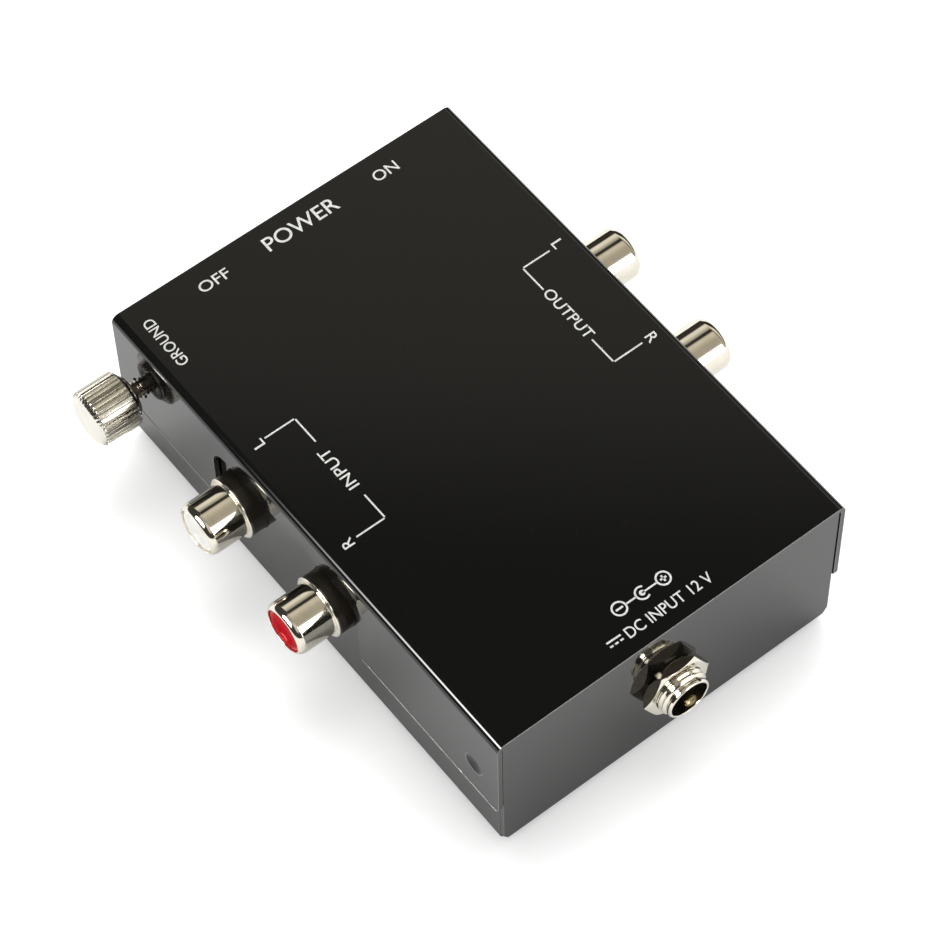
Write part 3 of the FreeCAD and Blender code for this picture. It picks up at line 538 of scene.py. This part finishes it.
plug_profile = [
    (0.05, 1.9), (0.05, 3.65), (plug_front - 0.30, 3.65), (plug_front - 0.30, 3.32),
    (plug_front - 0.12, 3.30), (plug_front - 0.02, 3.16), (plug_front, 3.0),
    (plug_front - 0.05, 2.84), (plug_front - 0.22, 2.72), (plug_front - 0.55, 2.55),
    (plug_front - 0.80, 2.25), (plug_front - 0.92, 1.95), (plug_front - 1.0, 1.70),
    (plug_front - 1.3, 1.65), (plug_front - 1.3, 1.9)]
white_plastic = grained("white_plastic", (0.94, 0.935, 0.91), 0.32, 1600, 0.01, 0.03, 0.2)
red_plastic = grained("red_plastic", (0.52, 0.006, 0.014), 0.26, 1600, 0.004, 0.08, 0.12)
boss_plastic = grained("boss_plastic", (0.017, 0.014, 0.0095), 0.24, 1200, 0.002)
contact_brass = plated("contact_brass", (0.72, 0.58, 0.30), 0.25)
for side, outward in sides.items():
    for channel, y in jack_ys.items():
        label = f"{side}_{channel}"
        seat = (outward * jack_seats[side], y, jack_axis_z)
        sleeve = turned(f"{label}_sleeve", sleeve_profile, ring=True)
        put(sleeve, seat, (outward, 0, 0))
        soften(sleeve, 0.03)
        sleeve.data.materials.append(nickel)
        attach(sleeve, "case")
        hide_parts(f"{label}_shell")
        dish = turned(f"{label}_dish", plug_profile, ring=True)
        put(dish, seat, (outward, 0, 0))
        soften(dish, 0.03)
        dish.data.materials.append(white_plastic if channel == "left" else red_plastic)
        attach(dish, "case")
        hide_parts(f"{label}_insulator")
        boss = softened_copy(f"{label}_housing", f"{label}_boss", 0.12, (boss_plastic,))
        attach(boss, "case")
        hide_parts(f"{label}_housing")
        dress(f"{label}_contact", contact_brass)


# Supply socket: a threaded nickel barrel through the near end, drawn tight by a
# hexagon nut whose corners are turned off, with the pin in the middle of its bore.

socket_axis = (-0.3, -43.75, 14.4)
thread_radius = 3.9
thread_pitch = 0.75
thread_depth = 0.34
socket_bore = 3.1
barrel_floor = -10.8
collar_back, collar_front = -2.3, -1.3
collar_radius = 5.2
barrel_nickel = plated("socket_nickel", nickel_colour, 0.09, 0.6)
# A dark copy of the nickel for the nut's flats: painted shade.
shaded_nut_nickel = plated("nut_flats_painted_shade", (0.24, 0.215, 0.175), 0.22, 1.5)


def threaded(start, length, radius, depth, pitch):
    """Profile of a thread as rings: root and crest by turns, with narrow flats."""
    rings = []
    for k in range(int(length / pitch)):
        foot = start + k * pitch
        rings += [(foot, radius - depth), (foot + pitch * 0.12, radius - depth),
                  (foot + pitch * 0.46, radius), (foot + pitch * 0.60, radius)]
    return rings + [(start + int(length / pitch) * pitch, radius - depth)]


barrel_profile = [(barrel_floor, socket_bore), (barrel_floor, thread_radius),
                  (collar_back, thread_radius), (collar_back, collar_radius),
                  (collar_front, collar_radius), (collar_front, thread_radius),
                  (0.9, thread_radius)]
barrel_profile += threaded(1.15, 2.25, thread_radius, thread_depth, thread_pitch)
barrel_profile += [(3.45, 3.42), (3.56, 3.42), (3.66, 3.54), (3.78, 3.58), (4.05, 3.56),
                   (4.2, 3.48), (4.28, 3.36), (4.3, 3.24), (4.26, 3.13), (4.15, socket_bore)]
barrel = turned("socket_barrel", barrel_profile, ring=True)
put(barrel, socket_axis, (0, -1, 0))
soften(barrel, 0.02)
barrel.data.materials.append(barrel_nickel)
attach(barrel, "case")
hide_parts("dc_socket_barrel")
socket_nut = softened_copy("dc_socket_nut", "socket_nut", 0.06, (barrel_nickel, shaded_nut_nickel))
# The six flats take the dark copy of the plating: painted shade.
for face in socket_nut.data.polygons:
    if abs(face.normal.y) < 0.1:
        face.material_index = 1
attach(socket_nut, "case")
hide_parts("dc_socket_nut")
# The pin deep in the bore is given a dark brass colour: painted shade.
dress("dc_socket_pin", plated("pin_plating_shaded", (0.40, 0.34, 0.24), 0.22))
dress("dc_socket_body", boss_plastic)
zinc = plated("zinc_plate", (0.62, 0.62, 0.60), 0.32, 1.0)
for node in ("dc_lock_washer", "board_pillars", "board_screws", "ground_clinch_nut",
             "regulator_tab", "power_switch_frame"):
    dress(node, zinc)
tinned = plated("tinned_metal", (0.74, 0.72, 0.67), 0.30, 1.0)
for node in ("dc_sleeve_lug", "ground_solder_lug", "power_switch_bridge",
             "power_switch_terminals", "op_amp_leads"):
    dress(node, tinned)


# Ground knob: a nickel-plated turned knob with straight knurling, flat at its face,
# on a long M3 screw that carries a loose washer. It is drawn out from the case.

knob_seat = (-32.4, 38.6, 16.9)
knob_radius = 4.45
knob_root = 4.14
knob_length = 7.0
knob_teeth = 36
knob_back_share = 0.86
crest_spread = 0.10
face_edge = 0.55


def knurled_knob():
    """A cylinder of four points to each tooth, two on its crest and two in its root."""
    bpy.ops.object.select_all(action="DESELECT")
    bpy.ops.mesh.primitive_circle_add(vertices=4 * knob_teeth, radius=knob_root * MM)
    piece = bpy.context.object
    piece.name = "knob"
    bpy.ops.object.mode_set(mode="EDIT")
    bpy.ops.mesh.select_all(action="SELECT")
    bpy.ops.mesh.edge_face_add()
    bpy.ops.transform.resize(value=(knob_back_share, knob_back_share, 1),
                             center_override=(0, 0, 0))
    levels = ((0.45, knob_root, 1), (0.65, knob_root, 2),
              (knob_length - face_edge - 0.22, knob_root, 2),
              (knob_length - face_edge, knob_root - 0.03, 1),
              (knob_length - 0.16, knob_root - 0.30, 0),
              (knob_length - 0.03, knob_root - 0.50, 0), (knob_length, knob_root - 0.75, 0))
    radius, along = knob_root * knob_back_share, 0.0
    for level, size, teeth in levels:
        bpy.ops.mesh.extrude_region_move(
            TRANSFORM_OT_translate={"value": (0, 0, (level - along) * MM)})
        share = size / radius
        bpy.ops.transform.resize(value=(share, share, 1), center_override=(0, 0, level * MM))
        radius, along = size, level
    bpy.ops.mesh.select_all(action="SELECT")
    bpy.ops.mesh.normals_make_consistent(inside=False)
    bpy.ops.object.mode_set(mode="OBJECT")
    crest = {level: teeth for level, size, teeth in levels}
    for point in piece.data.vertices:
        turn_share = math.atan2(point.co.y, point.co.x) / math.tau * knob_teeth
        on_crest = (turn_share - 0.125) % 1.0 < 0.5
        for level, teeth in crest.items():
            if on_crest and teeth and abs(point.co.z - level * MM) < 0.01 * MM:
                lift = 1 + (knob_radius / knob_root - 1) * teeth / 2
                aside = crest_spread if (turn_share - 0.125) % 1.0 > 0.25 else -crest_spread
                angle = (turn_share + aside) / knob_teeth * math.tau
                reach = math.hypot(point.co.x, point.co.y) * lift
                point.co.x = reach * math.cos(angle)
                point.co.y = reach * math.sin(angle)
    return piece


def paint_root_shade(material):
    """Painted shade in the knurling: the base colour is darkened to half in the roots and kept full on
    the crests and the end faces.
    """
    tree = material.node_tree
    skin = tree.nodes["Principled BSDF"]
    place = tree.nodes.new("ShaderNodeTexCoord")
    from_axis = add_node(tree, "ShaderNodeVectorMath", operation="SUBTRACT")
    from_axis.inputs[1].default_value = Vector((0, knob_seat[1], knob_seat[2])) * MM
    tree.links.new(place.outputs["Object"], from_axis.inputs[0])
    flat = add_node(tree, "ShaderNodeVectorMath", operation="MULTIPLY")
    flat.inputs[1].default_value = (0, 1, 1)
    tree.links.new(from_axis.outputs[0], flat.inputs[0])
    reach = add_node(tree, "ShaderNodeVectorMath", operation="LENGTH")
    tree.links.new(flat.outputs[0], reach.inputs[0])
    depth = tree.nodes.new("ShaderNodeMapRange")
    depth.inputs["From Min"].default_value = (knob_root + 0.02) * MM
    depth.inputs["From Max"].default_value = (knob_root + 0.12) * MM
    depth.inputs["To Min"].default_value = 0.50
    tree.links.new(reach.outputs["Value"], depth.inputs["Value"])
    ends = tree.nodes.new("ShaderNodeMapRange")
    ends.inputs["From Min"].default_value = (knob_root - 0.04) * MM
    ends.inputs["From Max"].default_value = (knob_root - 0.02) * MM
    ends.inputs["To Min"].default_value = 1.0
    ends.inputs["To Max"].default_value = 0.0
    tree.links.new(reach.outputs["Value"], ends.inputs["Value"])
    root_shade_factor = add_node(tree, "ShaderNodeMath", operation="MAXIMUM")
    tree.links.new(depth.outputs["Result"], root_shade_factor.inputs[0])
    tree.links.new(ends.outputs["Result"], root_shade_factor.inputs[1])
    shade = add_node(tree, "ShaderNodeMixRGB", blend_type="MULTIPLY", Fac=1.0)
    tree.links.new(skin.inputs["Base Color"].links[0].from_socket, shade.inputs["Color1"])
    tree.links.new(root_shade_factor.outputs[0], shade.inputs["Color2"])
    tree.links.new(shade.outputs[0], skin.inputs["Base Color"])


knob_nickel = plated("knob_nickel", (0.80, 0.775, 0.70), 0.14, 0.8)
# The knob's knurling roots take painted shade.
paint_root_shade(knob_nickel)
# Plain steel for the screw and washer, darkened further as painted shade where they sit between the
# knob and the case.
shaded_screw_steel = plated("shaded_screw_steel", (0.34, 0.31, 0.27), 0.20, 1.0)
knob = knurled_knob()
put(knob, knob_seat, (-1, 0, 0))
soften(knob, 0.02)
knob.data.materials.append(knob_nickel)
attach(knob, "ground_thumb_screw")
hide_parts("ground_knob")

screw_reach = 9.0
screw_radius = 1.45
screw_thread_depth = 0.26
screw_pitch = 0.5
screw_profile = [(-4.5, 0.9), (-4.5, screw_radius), (0.25, screw_radius)]
screw_profile += threaded(0.25, 8.5, screw_radius, screw_thread_depth, screw_pitch)
screw_profile += [(screw_reach, 0.9)]
screw = turned("ground_screw_thread", screw_profile, 48)
put(screw, knob_seat, (1, 0, 0))
soften(screw, 0.01)
screw.data.materials.append(shaded_screw_steel)
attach(screw, "ground_thumb_screw")
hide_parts("ground_screw")
washer_profile = [(0, 1.5), (0, 3.0), (0.1, 3.1), (0.4, 3.1), (0.5, 3.0), (0.5, 1.5)]
washer = turned("loose_washer", washer_profile, ring=True)
put(washer, knob_seat, (1, 0, 0))
soften(washer, 0.02)
washer.data.materials.append(shaded_screw_steel)
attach(washer, "ground_clamp_ring")
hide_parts("ground_washer")


# Power switch: a black lever with a ribbed end, in a slot in the far end.

lever_plastic = grained("lever_plastic", (0.014, 0.014, 0.014), 0.38, 1600, 0.02)
lever = softened_copy("power_switch_slider", "switch_lever", 0.15, (lever_plastic,))
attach(lever, "power_switch")
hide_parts("power_switch_slider")
dress("power_switch_base", lever_plastic)


# Printing: one coat of off-white ink, screened on the cover, slightly uneven where
# it is thin. Plain working words, brackets that join each pair of jacks, and the
# usual marks for the supply.

print_z = 28.605
print_thickness = 0.012
ink_colour = (0.60, 0.60, 0.575)
stroke_growth = 0.004


def screen_ink():
    """Off-white ink with a matt face, thinner and greyer in small patches."""
    material, tree, output = new_tree("screen_ink")
    skin = add_node(tree, "ShaderNodeBsdfPrincipled", **{"Roughness": 0.5})
    place = tree.nodes.new("ShaderNodeTexCoord")
    patch = add_node(tree, "ShaderNodeTexNoise", **{"Scale": 1400.0, "Detail": 3.0})
    tree.links.new(place.outputs["Object"], patch.inputs["Vector"])
    colour = tree.nodes.new("ShaderNodeValToRGB")
    colour.color_ramp.elements[0].position = 0.25
    colour.color_ramp.elements[0].color = tuple(c * 0.78 for c in ink_colour) + (1,)
    colour.color_ramp.elements[1].position = 0.6
    colour.color_ramp.elements[1].color = ink_colour + (1,)
    tree.links.new(patch.outputs["Fac"], colour.inputs["Fac"])
    tree.links.new(colour.outputs["Color"], skin.inputs["Base Color"])
    bump = add_node(tree, "ShaderNodeBump", **{"Strength": 0.2, "Distance": 0.00001})
    tree.links.new(patch.outputs["Fac"], bump.inputs["Height"])
    tree.links.new(bump.outputs["Normal"], skin.inputs["Normal"])
    tree.links.new(skin.outputs[0], output.inputs["Surface"])
    return material


ink = screen_ink()


def inked(piece):
    """A printed mark takes the ink and stays with the case."""
    piece.data.materials.clear()
    piece.data.materials.append(ink)
    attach(piece, "case")


def word(name, text, centre, length, height, reading=0):
    """A printed word, fitted to a length and a height in mm, read along an angle."""
    bpy.ops.object.select_all(action="DESELECT")
    bpy.ops.object.text_add()
    piece = bpy.context.object
    piece.name = name
    piece.data.body = text
    piece.data.extrude = 0.5
    piece.data.offset = stroke_growth
    bpy.ops.object.convert(target="MESH")
    xs = [v.co.x for v in piece.data.vertices]
    ys = [v.co.y for v in piece.data.vertices]
    middle = Vector(((min(xs) + max(xs)) / 2, (min(ys) + max(ys)) / 2, 0))
    for point in piece.data.vertices:
        point.co -= middle
        point.co.x *= length * MM / (max(xs) - min(xs))
        point.co.y *= height * MM / (max(ys) - min(ys))
        point.co.z *= print_thickness * MM
    piece.rotation_euler = (0, 0, math.radians(reading))
    piece.location = Vector((centre[0], centre[1], print_z)) * MM
    bpy.ops.object.transform_apply(location=True, rotation=True, scale=True)
    inked(piece)


def line(name, points, width=0.25):
    """A printed line through points in mm, with square ends."""
    bpy.ops.object.select_all(action="DESELECT")
    half = width / 2
    bars = []
    for a, b in zip(points, points[1:]):
        run = Vector(b) - Vector(a)
        bpy.ops.mesh.primitive_cube_add(size=1)
        bar = bpy.context.object
        bar.scale = ((run.length + width) * MM, width * MM, print_thickness * MM)
        bar.rotation_euler = (0, 0, math.atan2(run.y, run.x))
        bar.location = Vector(((a[0] + b[0]) / 2, (a[1] + b[1]) / 2, print_z)) * MM
        bars.append(bar)
    for bar in bars:
        bar.select_set(True)
    bpy.context.view_layer.objects.active = bars[0]
    if len(bars) > 1:
        bpy.ops.object.join()
    piece = bpy.context.object
    piece.name = name
    bpy.ops.object.transform_apply(location=True, rotation=True, scale=True)
    inked(piece)


word("word_power", "POWER", (0.4, 40.25), 12.6, 2.5)
word("word_off", "OFF", (-15.1, 40.0), 5.0, 1.85)
word("word_on", "ON", (15.5, 40.15), 4.1, 1.85)
word("word_ground", "GROUND", (-26.6, 35.7), 9.3, 1.75, 90)
word("word_input", "INPUT", (-20.3, 3.9), 7.6, 1.75, 90)
word("word_output", "OUTPUT", (20.6, 4.3), 9.9, 1.75, -90)
word("mark_input_left", "L", (-26.5, 14.0), 1.2, 1.75, 90)
word("mark_input_right", "R", (-26.5, -6.4), 1.35, 1.75, 90)
word("mark_output_left", "L", (26.9, 14.6), 1.2, 1.75, -90)
word("mark_output_right", "R", (27.15, -6.1), 1.35, 1.75, -90)
line("bracket_input_left", [(-25.1, 14.2), (-20.05, 14.2), (-20.05, 9.5)])
line("bracket_input_right", [(-20.0, -1.8), (-20.0, -6.35), (-24.8, -6.35)])
line("bracket_output_left", [(25.1, 14.4), (20.35, 14.4), (20.35, 9.8)])
line("bracket_output_right", [(20.35, -1.3), (20.35, -6.0), (25.35, -6.0)])


def ring_mark(name, centre, radius, width=0.28):
    """A printed circle."""
    piece = turned(name, [(0, radius - width / 2), (0, radius + width / 2),
                          (print_thickness, radius + width / 2), (print_thickness, radius - width / 2)],
                   48, ring=True)
    put(piece, (centre[0], centre[1], print_z - print_thickness / 2), (0, 0, 1))
    inked(piece)


def arc_mark(name, centre, radius, start, sweep, width=0.28):
    """A printed arc: one end face of a small block, spun clockwise round the centre."""
    bpy.ops.object.select_all(action="DESELECT")
    bpy.ops.mesh.primitive_cube_add(size=1)
    piece = bpy.context.object
    piece.name = name
    piece.scale = (width * MM, 0.02 * MM, print_thickness * MM)
    piece.location = (radius * MM, 0, 0)
    bpy.ops.object.transform_apply(location=True, rotation=True, scale=True)
    bpy.ops.object.mode_set(mode="EDIT")
    bpy.ops.mesh.select_mode(type="FACE")
    bpy.ops.mesh.select_all(action="DESELECT")
    bpy.ops.object.mode_set(mode="OBJECT")
    for face in piece.data.polygons:
        face.select = face.normal.y > 0.9
    bpy.ops.object.mode_set(mode="EDIT")
    bpy.ops.mesh.spin(steps=36, angle=math.radians(sweep), center=(0, 0, 0), axis=(0, 0, 1))
    bpy.ops.mesh.select_all(action="SELECT")
    bpy.ops.mesh.normals_make_consistent(inside=False)
    bpy.ops.object.mode_set(mode="OBJECT")
    piece.rotation_euler = (0, 0, math.radians(start))
    piece.location = Vector((centre[0], centre[1], print_z)) * MM
    bpy.ops.object.transform_apply(location=True, rotation=True, scale=True)
    inked(piece)


def dot_mark(name, centre, radius):
    """A printed dot."""
    piece = turned(name, [(0, radius), (print_thickness, radius)], 32)
    put(piece, (centre[0], centre[1], print_z - print_thickness / 2), (0, 0, 1))
    inked(piece)


mark_y = -37.2
ring_mark("mark_minus_ring", (-4.15, mark_y), 1.05)
line("mark_minus", [(-4.6, mark_y), (-3.7, mark_y)], 0.3)
line("mark_link_sleeve", [(-2.9, mark_y), (-1.35, mark_y)], 0.26)
arc_mark("mark_sleeve", (-0.2, mark_y), 1.0, -50, 260)
dot_mark("mark_pin", (-0.2, mark_y), 0.44)
line("mark_link_pin", [(-0.1, mark_y), (2.2, mark_y)], 0.26)
ring_mark("mark_plus_ring", (3.45, mark_y), 1.03)
line("mark_plus_across", [(3.08, mark_y), (3.82, mark_y)], 0.3)
line("mark_plus_up", [(3.45, mark_y - 0.37), (3.45, mark_y + 0.37)], 0.3)
line("mark_steady", [(-8.8, -40.35), (-6.7, -40.4)], 0.28)
for k in range(3):
    line(f"mark_steady_dash_{k}", [(-8.75 + 0.87 * k, -41.1), (-8.5 + 0.87 * k, -41.1)], 0.28)
word("word_supply", "DC INPUT 12 V", (1.4, -40.85), 14.6, 1.75)


# Circuit board and what stands on it: green fibreglass, black chips, sleeved cans,
# resin-dipped resistors, film capacitors, a regulator and a white wire header.

dress("circuit_board", grained("board_green", (0.02, 0.11, 0.045), 0.4, 500, 0.02))
dress("op_amps", grained("chip_black", (0.02, 0.02, 0.02), 0.6, 2500, 0.02))
dress("voltage_regulator", grained("regulator_black", (0.02, 0.02, 0.02), 0.55, 2500, 0.02))
dress("signal_capacitors", grained("sleeve_black", (0.015, 0.015, 0.02), 0.3, 900, 0.01))
dress("supply_capacitors", grained("sleeve_navy", (0.012, 0.016, 0.04), 0.3, 900, 0.01))
dress("film_capacitors", grained("film_red", (0.35, 0.05, 0.02), 0.35, 900, 0.02))
dress("resistors", grained("resin_blue", (0.10, 0.26, 0.42), 0.3, 1200, 0.02))
dress("wire_header", grained("header_white", (0.75, 0.74, 0.70), 0.45, 1500, 0.01))
dress("supply_wire", grained("wire_red", (0.42, 0.02, 0.02), 0.4, 1500, 0.01))
dress("return_wire", grained("wire_black", (0.02, 0.02, 0.02), 0.4, 1500, 0.01))
dress("ground_wire", grained("wire_green", (0.04, 0.22, 0.06), 0.4, 1500, 0.01))
